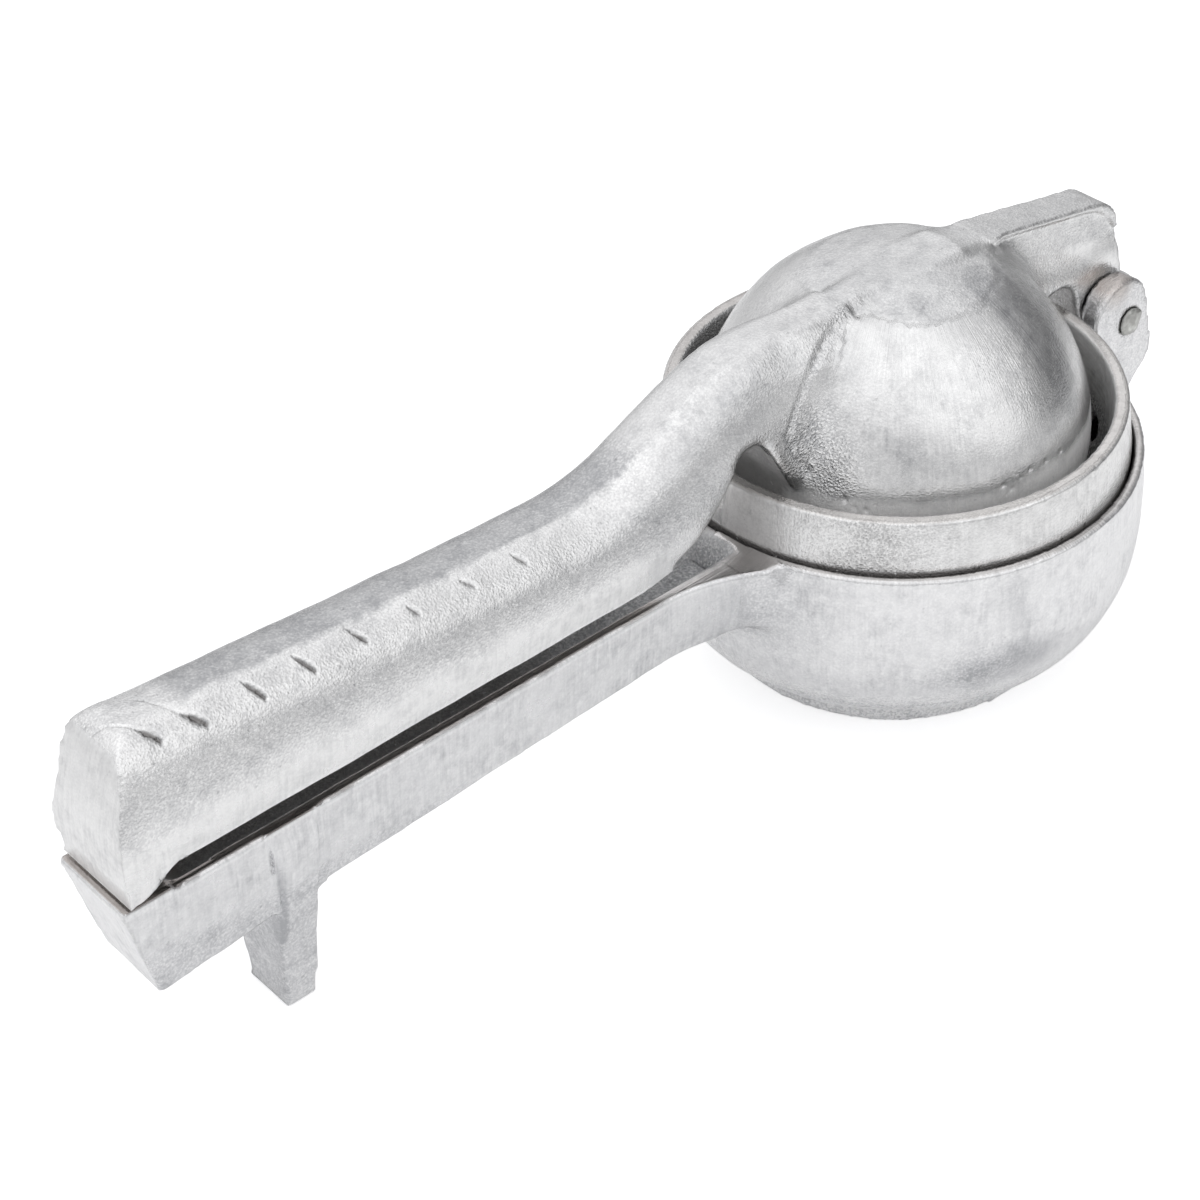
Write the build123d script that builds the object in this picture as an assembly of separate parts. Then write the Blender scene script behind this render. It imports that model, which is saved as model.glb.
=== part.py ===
from build123d import *
from math import asin, cos, degrees, hypot, radians, sin, sqrt
import os

# Hinged lemon squeezer in four pieces: lower casting, strainer cup, press arm and hinge pin.
# Millimetres, +Z up. The origin is on the floor, at the axis of the juice bowl.
# The hinge is on the +X side and both handles reach out along -X. The press is closed.

# ---- juice bowl ----
bowl_radius = 43.9          # widest outer radius
bowl_belly = 27.0           # height of the widest level
bowl_bulge = 12.9           # from the widest radius inwards, where the underside turns level
bowl_underside = 5.0        # height where the underside would be level
rim_height = 39.9           # flat rim of the bowl and of the channel handle
rim_draw_in = 0.6           # how much narrower the bowl is at its rim
bowl_wall = 4.0
bowl_floor = 4.0
bowl_inner_corner = 20.0    # radius between the inner wall and the floor
foot_radius = 31.2
foot_height = 3.6
foot_draft = 0.3
cove_angle = 11.0           # where the bowl's underside springs from the foot's cove

# ---- strainer cup ----
cup_flare = 1.1             # how much wider the band is at its seat than at the cup's rim
cup_rise = 9.4              # height of the cup's rim above the bowl's rim
cup_rim_width = 2.5         # width of the flat top of the rim
seat_depth = 3.0            # depth of the rebate in the bowl's rim
seat_lip = 1.85             # wall that the rebate leaves at the bowl's rim
seat_clearance = 0.35
cup_body_clearance = 0.6    # between the cup's body and the inner wall of the bowl
cup_wall_depth = 9.3        # straight inner wall above the rounded floor
cup_depth = 37.3            # rim to the inside of the floor
cup_floor = 2.6
drain_diameter = 4.6
drain_rings = ((0.8, 12), (6.0, 12), (14.5, 8), (24.5, 6))   # (inwards from the inner wall, holes)

# ---- press head ----
head_clearance = 3.6        # between the head and the inner wall of the cup
head_centre_rise = 2.1      # widest level of the head above the bowl's rim
head_depth = 23.4           # widest level down to the bottom of the head
head_flat = 1.9             # how far the flat on top cuts into the ball
head_nose = 3.0             # radius of the small flat at the bottom

# ---- hinge ----
pin_diameter = 5.0
pin_running_clearance = 0.05
pin_head_diameter = 5.6
pin_head_height = 0.7
pin_setback = 9.3           # pin axis behind the widest radius of the bowl
pin_rise = 2.6              # pin axis above the bowl's rim
tongue_thickness = 7.8
tongue_radius = 7.5
tongue_clearance = 0.35     # each side, between tongue and ear
ear_thickness = 4.25
ear_top_radius = 6.9
ear_lean = 2.5              # the ears' round top sits this far forward of and above the pin
ear_heel_radius = 6.8
ear_heel_drop = 7.3         # round heel of the ears below the pin
ear_root_radius = 5.0
ear_root_drop = 20.5        # lower end of the ears' root below the pin
slot_clearance = 1.2        # under the tongue, in the web between the ears

# ---- channel handle and its leg ----
channel_reach = 165.5       # bowl axis to the tip
channel_width = 16.8
channel_bottom_width = 14.4
channel_tip_depth = 19.4
channel_leg_depth = 16.2    # just past the leg
channel_root_depth = 12.8   # at the bowl
channel_wall = 2.3
channel_floor = 4.0         # thickness at the bowl
channel_tip_lean = 4.6      # how far the tip runs back under
channel_ramp = 7.0          # length of the slope at the trough's outer end
rest_rise = 0.5             # raised rest for the press handle
rest_length = 9.0
leg_centre = 136.0          # bowl axis to the middle of the leg's sole
leg_sole_length = 5.7
leg_sole_width = 10.2
leg_top_length = 8.6
leg_top_width = 18.0
leg_top_gap = 0.3           # the leg stops this far under the rim

# ---- press handle and neck ----
handle_reach = 164.1
handle_gap = 5.4            # between the rims of the two handles
stop_gap = 0.3              # between the press handle's end pad and the rest
pad_length = 5.2
handle_bottom_width = 15.2
handle_width = 19.2
handle_belly = 4.2          # height of the widest level
handle_shoulder_width = 16.2
handle_shoulder_drop = 5.6  # shoulder below the flat crown
handle_flat_width = 7.4     # flat facet along the crown
handle_height = 15.7        # at the foot of the neck
handle_end_height = 21.7
handle_end_bow = 0.6        # the end face bulges outwards this much above the pad
handle_end_lean = 1.4       # it then leans back this much under its rounded top
handle_end_round = 8.0      # height of that rounding into the crown
handle_skin = 2.7           # wall of the hollow back
handle_crown = 4.4          # thickness over the hollow
neck_foot = 75.0            # bowl axis to the foot of the neck
neck_level = 2.1            # outside the head's radius, where the neck runs level into it
window_offset = 6.0         # top of the neck window, outwards from the neck's level end
window_height = 15.4        # top of the neck window above the bottom of the handle

# ---- lug between head and hinge ----
lug_fall = 6.6              # top of the lug below the head's flat, where it turns down
lug_turn = 6.4              # that corner, forward of the pin
lug_arch_rise = 3.8         # arch of the lug above the cup's rim

# ---- values that follow ----
rim_radius = bowl_radius - rim_draw_in
inner_radius = bowl_radius - bowl_wall
seat_z = rim_height - seat_depth
seat_radius = rim_radius - seat_lip
cup_flange_radius = seat_radius - seat_clearance
cup_rim_radius = cup_flange_radius - cup_flare
cup_top = rim_height + cup_rise
cup_inner_radius = cup_rim_radius - cup_rim_width
cup_body_radius = inner_radius - cup_body_clearance
cup_knuckle_z = cup_top - cup_wall_depth
cup_bowl_depth = cup_depth - cup_wall_depth
head_radius = cup_inner_radius - head_clearance
head_z = rim_height + head_centre_rise
plateau_z = head_z + head_radius - head_flat
neck_head = head_radius + neck_level
pin_x = bowl_radius + pin_setback
pin_z = rim_height + pin_rise
ear_inner = tongue_thickness / 2 + tongue_clearance
ear_outer = ear_inner + ear_thickness
channel_floor_z = rim_height - channel_root_depth + channel_floor
trough_start = -channel_reach + rest_length
handle_z = rim_height + handle_gap
pad_z = rim_height + rest_rise + stop_gap
over = 1.0                  # cutters run past the faces they open by this much


def turned(outline):
    """Solid of revolution about Z from a closed outline drawn in the XZ plane."""
    return revolve(Plane.XZ * make_face(outline), Axis.Z, 360)


def slab(outline, width):
    """Plate of the given width, centred on Y = 0, from a closed outline in the XZ plane."""
    return extrude(Plane.XZ * make_face(outline), amount=width / 2, both=True)


def rod(x, z, radius, length):
    """Cylinder along Y, centred on Y = 0."""
    return Pos(x, 0, z) * Rot(90, 0, 0) * Cylinder(radius, length)


def cup_arc(centre_z, radius, depth):
    """Quarter ellipse from the axis out to the wall, for a rounded floor."""
    return EllipticalCenterArc((0, centre_z), radius, depth, start_angle=270, arc_size=90)


def section(x, half):
    """Symmetric closed section at one station, from its (y, z) points on the +Y side, bottom to top."""
    mirror = [(-y, z) for y, z in reversed(half)]
    return Plane.YZ.offset(x) * make_face(Polyline(*half, *mirror, close=True))


def tangent_plate(first, second, width):
    """Plate along Y that wraps two circles (x, z, radius) with their outer tangents."""
    (x0, z0, r0), (x1, z1, r1) = first, second
    gap = hypot(x1 - x0, z1 - z0)
    ux, uz = (x1 - x0) / gap, (z1 - z0) / gap
    tilt = asin((r0 - r1) / gap)
    corners = []
    for side in (1, -1):
        nx = sin(tilt) * ux - side * cos(tilt) * uz
        nz = sin(tilt) * uz + side * cos(tilt) * ux
        ends = [(x0 + r0 * nx, z0 + r0 * nz), (x1 + r1 * nx, z1 + r1 * nz)]
        corners += ends if side == 1 else ends[::-1]
    return slab(Polyline(*corners, close=True), width) + rod(x0, z0, r0, width) + rod(x1, z1, r1, width)


# ---------------------------------------------------------------- lower casting
def bowl_outside():
    """Short foot, a cove, then an elliptical belly that draws in slightly to the rim."""
    foot_top = (foot_radius + foot_draft, foot_height)
    belly = EllipticalCenterArc((bowl_radius - bowl_bulge, bowl_belly), bowl_bulge, bowl_belly - bowl_underside,
                                start_angle=270 + cove_angle, arc_size=90 - cove_angle)
    upper = TangentArc((bowl_radius, bowl_belly), (rim_radius, rim_height), tangent=(0, 1))
    outline = Polyline((rim_radius, rim_height), (0, rim_height), (0, 0), (foot_radius, 0), foot_top, belly @ 0)
    return turned(outline + belly + upper)


def bowl_hollow():
    """Juice space with a rounded floor, and the rebate for the cup in the rim."""
    knuckle = inner_radius - bowl_inner_corner
    corner = CenterArc((knuckle, bowl_floor + bowl_inner_corner), bowl_inner_corner, 270, 90)
    wall = Polyline((inner_radius, bowl_floor + bowl_inner_corner), (inner_radius, seat_z),
                    (seat_radius, seat_z), (seat_radius, rim_height + over), (0, rim_height + over),
                    (0, bowl_floor), (knuckle, bowl_floor))
    return turned(corner + wall)


def channel_handle():
    """Bar of the lower handle: deepest at its tip, which leans back under, with a raised rest on its end."""
    half, narrow = channel_width / 2, channel_bottom_width / 2

    def station(x, depth):
        return section(x, [(narrow, rim_height - depth), (half, rim_height)])

    past_leg = -leg_centre + leg_top_length
    bar = loft([station(-channel_reach, channel_tip_depth), station(past_leg, channel_leg_depth),
                station(-inner_radius, channel_root_depth)], ruled=True)
    foot_x, foot_z = -channel_reach + channel_tip_lean, rim_height - channel_tip_depth
    bar -= slab(Polyline((-channel_reach - over, rim_height), (-channel_reach, rim_height),
                         (foot_x, foot_z), (-channel_reach - over, foot_z), close=True), 2 * channel_width)
    rest = slab(Polyline((-channel_reach, rim_height - over), (-channel_reach, rim_height + rest_rise),
                         (trough_start - rest_rise, rim_height + rest_rise),
                         (trough_start + over, rim_height - over), close=True), channel_width)
    return bar + rest


def channel_trough():
    """Open-topped space in the lower handle, with a slope up to the rest."""
    half, narrow = channel_width / 2 - channel_wall, channel_bottom_width / 2 - channel_wall
    top = rim_height + over

    def station(x):
        return section(x, [(narrow, channel_floor_z), (half, top)])

    trough = loft([station(trough_start), station(-rim_radius)], ruled=True)
    ramp = slab(Polyline((trough_start - over, channel_floor_z - over), (trough_start + channel_ramp, channel_floor_z),
                         (trough_start, rim_height), (trough_start - over, rim_height), close=True), channel_width)
    return trough - ramp


def leg():
    """Leg that widens from its small sole up to the handle, a little proud of its sides."""
    def level(z, length, width):
        return Plane.XY.offset(z) * Pos(-leg_centre, 0) * Rectangle(length, width)

    return loft([level(0, leg_sole_length, leg_sole_width),
                 level(rim_height - leg_top_gap, leg_top_length, leg_top_width)], ruled=True)


def ears():
    """Two leaning ears on one root, joined by a web under the slot for the tongue."""
    top = (pin_x - ear_lean, pin_z + ear_lean, ear_top_radius)
    heel = (pin_x, pin_z - ear_heel_drop, ear_heel_radius)
    root = (bowl_radius, pin_z - ear_root_drop, ear_root_radius)
    block = tangent_plate(top, heel, 2 * ear_outer) + tangent_plate(heel, root, 2 * ear_outer)
    block += slab(Polyline((inner_radius, root[1]), (pin_x, heel[1]), (pin_x, pin_z),
                           (inner_radius, seat_z), close=True), 2 * ear_outer)
    slot_radius = tongue_radius + slot_clearance
    slot = rod(pin_x, pin_z, slot_radius, 2 * ear_inner)
    front_x = top[0] - ear_top_radius - over
    slot += Pos(front_x, 0, pin_z) * Box(pin_x + slot_radius - front_x, 2 * ear_inner, 4 * ear_top_radius,
                                         align=(Align.MIN, Align.CENTER, Align.MIN))
    return block - slot


def bowl_base():
    body = bowl_outside() + channel_handle() + leg() - channel_trough() + ears() - bowl_hollow()
    return body - rod(pin_x, pin_z, pin_diameter / 2, 4 * ear_outer)


# ---------------------------------------------------------------- strainer cup
def strainer_cup():
    """Perforated cup with a heavier band that flares down to its seat in the bowl's rim."""
    body_depth = cup_bowl_depth + cup_floor
    body = turned(cup_arc(cup_knuckle_z, cup_body_radius, body_depth)
                  + Polyline((cup_body_radius, cup_knuckle_z), (0, cup_knuckle_z), (0, cup_knuckle_z - body_depth)))
    band = turned(Polyline((0, seat_z), (cup_flange_radius, seat_z), (cup_flange_radius, rim_height + rest_rise),
                           (cup_rim_radius, cup_top), (0, cup_top), close=True))
    hollow = turned(cup_arc(cup_knuckle_z, cup_inner_radius, cup_bowl_depth)
                    + Polyline((cup_inner_radius, cup_knuckle_z), (cup_inner_radius, cup_top + over),
                               (0, cup_top + over), (0, cup_knuckle_z - cup_bowl_depth)))
    cup = body + band - hollow
    for number, (inset, count) in enumerate(drain_rings):
        cup -= drain_ring(cup_inner_radius - inset, count, 0.5 * (number % 2))
    return cup - drain_ring(0, 1, 0)


def drain_ring(radius, count, stagger):
    """Ring of round holes, each close to square with the rounded floor where it starts."""
    share = radius / cup_inner_radius
    z = cup_knuckle_z - cup_bowl_depth * sqrt(1 - share ** 2)
    lean = degrees(asin(share)) * cup_bowl_depth / cup_inner_radius
    holes = []
    for number in range(count):
        turn = 360 * (number + stagger) / count
        spot = Pos(radius * cos(radians(turn)), radius * sin(radians(turn)), z)
        holes.append(spot * Rot(0, 0, turn) * Rot(0, -lean, 0) * Cylinder(drain_diameter / 2, 6 * cup_floor))
    return holes


# ---------------------------------------------------------------- press arm
def press_head():
    """Ball with a flat on top and a flattened lower half that follows the cup, with a small flat nose."""
    flat_angle = degrees(asin(1 - head_flat / head_radius))
    dome = CenterArc((0, head_z), head_radius, flat_angle, -flat_angle)
    nose_angle = degrees(asin(head_nose / head_radius))
    lower = EllipticalCenterArc((0, head_z), head_radius, head_depth, start_angle=270 + nose_angle,
                                arc_size=90 - nose_angle)
    outline = Polyline(dome @ 0, (0, plateau_z), (0, (lower @ 0).Y), lower @ 0)
    return turned(outline + lower + dome)


def crown_height(x):
    """Height of the handle's crown above its bottom: a slow fall to the neck, then a smooth rise to the head."""
    if -x >= neck_foot:
        share = (-x - neck_foot) / (handle_reach - neck_foot)
        return handle_height + (handle_end_height - handle_height) * share ** 1.25
    share = min(1.0, (neck_foot + x) / (neck_foot - neck_head))
    return handle_height + (plateau_z - handle_z - handle_height) * share ** 2 * (3 - 2 * share)


def handle_section(x):
    crown = handle_z + crown_height(x)
    return section(x, [(handle_bottom_width / 2, handle_z), (handle_width / 2, handle_z + handle_belly),
                       (handle_shoulder_width / 2, crown - handle_shoulder_drop), (handle_flat_width / 2, crown)])


def hollow_section(x):
    top = handle_z + crown_height(x) - handle_crown
    return section(x, [(handle_bottom_width / 2 - handle_skin, handle_z - over),
                       (handle_width / 2 - handle_skin - 0.4, handle_z + handle_belly), (handle_flat_width / 2, top)])


def stations(start, end, count):
    return [start + (end - start) * number / (count - 1) for number in range(count)]


def neck_window():
    """Space under the neck: it rises from the handle's bottom to an arch in front of the head."""
    apex_x, apex_z = -neck_head - window_offset, handle_z + window_height
    start = (apex_x - 24, handle_z)
    arch = Spline(start, (apex_x - 15.5, handle_z + 2.0), (apex_x - 10, handle_z + 5.0),
                  (apex_x - 5.2, apex_z - 5.2), (apex_x - 2.6, apex_z - 1.6), (apex_x, apex_z),
                  (apex_x + 2.7, apex_z - 1.6), (apex_x + 4.3, apex_z - 4.0), (apex_x + 9.0, handle_z + 3.0),
                  (apex_x + 12, handle_z - over))
    return slab(arch + Polyline(arch @ 1, (start[0], handle_z - over), start), 2 * handle_width)


def handle_and_neck():
    """Handle with a hollow back and a swan neck, and a pad at its end that meets the rest."""
    bar = loft([handle_section(x) for x in stations(-handle_reach - handle_end_bow, -neck_head / 3, 13)])
    bar -= loft([hollow_section(x) for x in stations(-handle_reach + pad_length, -neck_head + over, 11)])
    bar -= neck_window()
    bar += Pos(-handle_reach, 0, pad_z) * Box(pad_length, handle_bottom_width, handle_z - pad_z + over,
                                              align=(Align.MIN, Align.CENTER, Align.MIN))
    return bar - handle_end_cut()


def handle_end_cut():
    """What lies outside the end face: a low bulge, a lean back, and a rounding into the crown."""
    bowed_x, top = -handle_reach - handle_end_bow, handle_z + handle_end_height
    pad_corner = (-handle_reach, pad_z)
    shoulder = (-handle_reach + handle_end_lean, top - handle_end_round)
    crown = (shoulder[0] + 0.8 * handle_end_round, top + 0.05)
    face = ThreePointArc(pad_corner, (bowed_x, handle_z + handle_belly), shoulder)
    rounding = Spline(shoulder, crown, tangents=[face % 1, (1, 0)])
    back = bowed_x - 2 * over
    rest = Polyline(crown, (crown[0], top + over), (back, top + over), (back, pad_z - over),
                    (-handle_reach, pad_z - over), pad_corner)
    return slab(face + rounding + rest, 2 * handle_width)


def rear_lug():
    """Plate from the head to the hinge: sloping top, steep back, round tongue, arch over the cup's rim."""
    corner = (pin_x - lug_turn, plateau_z - lug_fall)
    arch_z = cup_top + lug_arch_rise
    back = (pin_x + tongue_radius * sin(radians(17)), pin_z + tongue_radius * cos(radians(17)))
    belly = (pin_x + tongue_radius * cos(radians(30)), pin_z - tongue_radius * sin(radians(30)))
    front = (pin_x - tongue_radius, pin_z)
    outline = Polyline((0, plateau_z), (head_radius / 2, plateau_z - lug_fall / 6), corner)
    outline += ThreePointArc(corner, (pin_x - 2.6, corner[1] - 2.0), (pin_x - 0.4, corner[1] - 6.0))
    outline += Line((pin_x - 0.4, corner[1] - 6.0), back)
    outline += ThreePointArc(back, belly, front)
    outline += Spline(front, (pin_x - 9.9, arch_z - 4.4), (pin_x - 11.2, arch_z - 1.6), (pin_x - 14.4, arch_z),
                      (pin_x - 19.5, arch_z - 1.8))
    outline += Polyline((pin_x - 19.5, arch_z - 1.8), (0, arch_z - 1.8), (0, plateau_z))
    return slab(outline, tongue_thickness)


def press_arm():
    arm = handle_and_neck() + press_head() + rear_lug()
    return arm - rod(pin_x, pin_z, pin_diameter / 2 + pin_running_clearance, 4 * ear_outer)


# ---------------------------------------------------------------- hinge pin
def hinge_pin():
    """Plain pin, pressed into both ears and spread over outside them."""
    pin = rod(pin_x, pin_z, pin_diameter / 2, 2 * ear_outer)
    for side in (1, -1):
        pin += Pos(0, side * (ear_outer + pin_head_height / 2), 0) * rod(pin_x, pin_z, pin_head_diameter / 2,
                                                                         pin_head_height)
    return pin


parts = {
    "bowl_base": bowl_base(),
    "strainer_cup": strainer_cup(),
    "press_arm": press_arm(),
    "hinge_pin": hinge_pin(),
}

os.makedirs("parts", exist_ok=True)
for name, shape in parts.items():
    export_step(shape, "parts/" + name + ".step")
    print(name, round(shape.volume / 1000, 2), "cm3")
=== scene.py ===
"""Hinged lemon squeezer in sand-cast aluminium: lower casting, strainer cup, press arm and hinge pin.

Each casting is its own solid meshed again in small even squares, in millimetres, and then worked
as a foundry leaves it: inner corners fill, ridges soften, and the skin gets lumps, gouges and pits.
"""
import bpy
import bmesh
import math
import numpy as np
from mathutils import Matrix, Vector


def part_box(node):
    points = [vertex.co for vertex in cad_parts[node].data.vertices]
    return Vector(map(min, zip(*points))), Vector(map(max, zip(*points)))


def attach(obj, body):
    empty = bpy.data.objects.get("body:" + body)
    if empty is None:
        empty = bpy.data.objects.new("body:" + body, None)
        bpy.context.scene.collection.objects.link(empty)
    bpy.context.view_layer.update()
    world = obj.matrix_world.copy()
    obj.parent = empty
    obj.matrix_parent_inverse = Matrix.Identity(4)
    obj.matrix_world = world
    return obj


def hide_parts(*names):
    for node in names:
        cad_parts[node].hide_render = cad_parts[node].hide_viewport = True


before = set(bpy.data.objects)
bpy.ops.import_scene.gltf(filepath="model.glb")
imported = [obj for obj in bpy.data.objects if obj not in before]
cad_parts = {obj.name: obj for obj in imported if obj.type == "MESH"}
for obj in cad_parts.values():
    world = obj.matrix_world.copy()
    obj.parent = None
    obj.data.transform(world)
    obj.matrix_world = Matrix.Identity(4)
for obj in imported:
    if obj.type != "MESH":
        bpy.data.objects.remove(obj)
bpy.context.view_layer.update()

# ---------------------------------------------------------------- sizes in millimetres
MM = 0.001
HINGE_X, HINGE_Z = 53.2, 42.5
ARM_FITS, BASE_FITS = (12, 18), (11, 15)        # the running fits end at the first distance from the hinge
BALL_Z, BALL_RADIUS = 42.0, 33.9        # the press ball
CAP_Z, CAP_REACH = 74, 15.8             # the low cap on top of the ball
HANDLE_END_X = -164.1                   # end of the press handle
HANDLE_Z = 45.3                         # bottom of the press handle
BELLY_Z = 49.5                          # its widest height
SHOULDER = 5.6                          # its shoulder lies this far under its crown
# half of the solid handle's width at its bottom, belly, shoulder and crown
BOTTOM_HALF, BELLY_HALF, SHOULDER_HALF, CROWN_HALF = 7.6, 9.6, 8.1, 3.7
CROWN_Z = 61                            # height of the crown where the handle meets the neck
BEND_X, NECK_RUN = -75, 39              # the neck starts to rise here, and how far it runs
PAD_Z = 40.9                            # underside of the pad at the handle's end
CAST_HALF = 9.45                        # half of the handle's width as cast
LEG_X = -138
BOWL_RADIUS = 43.9
CUP_RADIUS = 40


# ---------------------------------------------------------------- arrays
def eased(low, high, value):
    """0 below low, 1 above high, and the cubic 3s^2 - 2s^3 between them. low may be above high."""
    share = np.clip((value - low) / (high - low), 0, 1)
    return share * share * (3 - 2 * share)


def hump(value, centre, half):
    """1 at the centre, falling to 0 at half on both sides as (1 - s^2)^2."""
    return np.clip(1 - ((value - centre) / half) ** 2, 0, 1) ** 2


def spot(points, centre, radius, squash=(1, 1, 1)):
    """1 in the middle of a round spot, falling to 0 at its radius as (1 - s^2)^2. A squash above 1 makes the
    spot shorter along that axis, and one below 1 longer."""
    away = (points - np.array(centre, float)) * squash
    return hump(np.linalg.norm(away, axis=1), 0, radius)


def near_line(points, line):
    """Distance of each point from a chain of straight runs, and how far along the chain its nearest place is,
    from 0 to 1."""
    line = np.asarray(line, float)
    best = np.full(len(points), 1e9)
    along = np.zeros(len(points))
    start = 0.0
    for a, b in zip(line[:-1], line[1:]):
        length = np.linalg.norm(b - a)
        share = np.clip((points - a) @ (b - a) / length ** 2, 0, 1)
        gap = np.linalg.norm(points - a - share[:, None] * (b - a), axis=1)
        nearer = gap < best
        best = np.where(nearer, gap, best)
        along = np.where(nearer, start + share * length, along)
        start += length
    return best, along / start


def lumps(points, size, seed):
    """Random heights from -1 to 1 on a turned lattice of the given pitch, blended between the eight corners
    of each cell by 6s^5 - 15s^4 + 10s^3."""
    cells = 48
    dice = np.random.default_rng(seed)
    turn, _ = np.linalg.qr(dice.normal(size=(3, 3)))
    heights = dice.uniform(-1, 1, (cells, cells, cells))
    place = points @ turn / size + dice.uniform(0, cells, 3)
    cell = np.floor(place).astype(int)
    part = place - cell
    part = part ** 3 * (part * (part * 6 - 15) + 10)
    total = np.zeros(len(points))
    for corner in np.ndindex(2, 2, 2):
        weight = np.prod(np.where(corner, part, 1 - part), axis=1)
        x, y, z = ((cell + corner) % cells).T
        total += weight * heights[x, y, z]
    return total


def off_hinge(points, near, far):
    """0 round the hinge, where the running fits stay as they are, and 1 from the far distance on."""
    return eased(near, far, np.hypot(points[:, 0] - HINGE_X, points[:, 2] - HINGE_Z))


def from_ball(points):
    """Distance from the middle of the press ball."""
    x, y, z = points.T
    return np.hypot(np.hypot(x, y), z - BALL_Z)


def new_object(name, data):
    """An object that holds a mesh, a lamp or a camera, in the scene's collection."""
    holder = bpy.data.objects.new(name, data)
    bpy.context.scene.collection.objects.link(holder)
    return holder


# ---------------------------------------------------------------- castings
class Casting:
    """A solid's skin as arrays in millimetres, worked on as a whole and written back at the end."""

    def __init__(self, node, name, pitch):
        """The node's solid is meshed again in even squares of the given pitch, and laid on the solid."""
        self.node = node
        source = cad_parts[node]
        mesh = source.data.copy()
        joined = bmesh.new()
        joined.from_mesh(mesh)
        bmesh.ops.remove_doubles(joined, verts=joined.verts, dist=1e-6)
        joined.to_mesh(mesh)
        joined.free()
        self.piece = new_object(name, mesh)
        even = self.piece.modifiers.new("even squares", "REMESH")
        even.mode = "VOXEL"
        even.voxel_size = pitch * MM
        even.use_smooth_shade = True
        self.lay_on_solid()
        self.piece.data.materials.clear()

    def lay_on_solid(self):
        """Each point goes to the nearest place on the solid."""
        true = self.piece.modifiers.new("on the solid", "SHRINKWRAP")
        true.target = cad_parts[self.node]
        true.wrap_method = "NEAREST_SURFACEPOINT"
        graph = bpy.context.evaluated_depsgraph_get()
        self.piece.data = bpy.data.meshes.new_from_object(self.piece.evaluated_get(graph))
        self.piece.modifiers.clear()
        self.read()

    def bring_out(self, region, cuts):
        """In a region the mesh is cut finer at its ridges and laid on the solid again, for crisp edges."""
        ridge = -(self.pull() * self.normals).sum(1) > 0.06
        for _ in range(2):
            ridge |= np.bincount(self.start, ridge[self.end], len(ridge)) > 0
        self.refine(ridge & region, cuts)
        self.lay_on_solid()

    def read(self):
        """Points, edges and the number of neighbours come from the mesh."""
        self.mesh = self.piece.data
        flat = np.empty(len(self.mesh.vertices) * 3, np.float32)
        self.mesh.vertices.foreach_get("co", flat)
        self.points = flat.reshape(-1, 3).astype(float) / MM
        edges = np.empty(len(self.mesh.edges) * 2, np.int32)
        self.mesh.edges.foreach_get("vertices", edges)
        self.edges = edges.reshape(-1, 2)
        self.start = np.concatenate((self.edges[:, 0], self.edges[:, 1]))
        self.end = np.concatenate((self.edges[:, 1], self.edges[:, 0]))
        self.count = np.bincount(self.start, minlength=len(self.points)).astype(float)

    def write(self):
        """Points go back to the mesh, in metres."""
        self.mesh.vertices.foreach_set("co", (self.points * MM).astype(np.float32).ravel())
        self.mesh.update()

    @property
    def normals(self):
        """Way out of the skin at each point."""
        self.write()
        flat = np.empty(len(self.points) * 3, np.float32)
        self.mesh.vertex_normals.foreach_get("vector", flat)
        return flat.reshape(-1, 3).astype(float)

    def spacing(self):
        """Mean distance of each point from its neighbours."""
        lengths = np.linalg.norm(self.points[self.start] - self.points[self.end], axis=1)
        return np.bincount(self.start, lengths) / self.count

    def pull(self):
        """From each point to the middle of its neighbours."""
        middle = [np.bincount(self.start, self.points[self.end, k], len(self.points)) for k in range(3)]
        return np.stack(middle, 1) / self.count[:, None] - self.points

    def soften(self, rounds, weight=1.0):
        """Points move half way to the middle of their neighbours and back a little more, so ridges round
        and the size stays."""
        weight = np.broadcast_to(weight, len(self.points))[:, None]
        for step in (0.5, -0.53) * rounds:
            self.points += step * weight * self.pull()

    def wear(self, rounds, weight):
        """Points move half way to the middle of their neighbours, which rounds ridges off for good."""
        for _ in range(rounds):
            self.points += 0.5 * weight[:, None] * self.pull()

    def fill_corners(self, rounds, weight):
        """Points whose neighbours lie outside of them move outwards, so only inner corners change, into
        fillets."""
        for number in range(rounds):
            if number % 10 == 0:
                normal = self.normals
            lift = (self.pull() * normal).sum(1)
            self.points += (0.5 * weight * np.clip(lift, 0, None))[:, None] * normal

    def round_ridges(self, rounds, weight=1.0, least=0.04):
        """Points that stand out from the middle of their neighbours move half way to it, which evens
        ridges."""
        for number in range(rounds):
            pull = self.pull()
            if number % 4 == 0:
                normal = self.normals
            out = -(pull * normal).sum(1)
            self.points += (0.5 * weight * eased(least, 3 * least, out))[:, None] * pull

    def raise_by(self, height):
        """Points move along their normals by a height in millimetres."""
        self.points += height[:, None] * self.normals

    def refine(self, chosen, cuts):
        """Edges with both ends chosen are cut, and the squares between them with them."""
        self.write()
        work = bmesh.new()
        work.from_mesh(self.mesh)
        work.edges.ensure_lookup_table()
        picked = [work.edges[i] for i in np.flatnonzero(chosen[self.edges].all(1))]
        bmesh.ops.subdivide_edges(work, edges=picked, cuts=cuts, use_grid_fill=True)
        bmesh.ops.triangulate(work, faces=[face for face in work.faces if len(face.verts) > 4])
        work.to_mesh(self.mesh)
        work.free()
        self.read()

    def mark(self, **values):
        """Named values for each point, which the material reads."""
        for name, value in values.items():
            layer = self.mesh.attributes.new(name, "FLOAT", "POINT")
            value = np.broadcast_to(value, len(self.points)).astype(np.float32)
            layer.data.foreach_set("value", np.ascontiguousarray(value))

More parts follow.
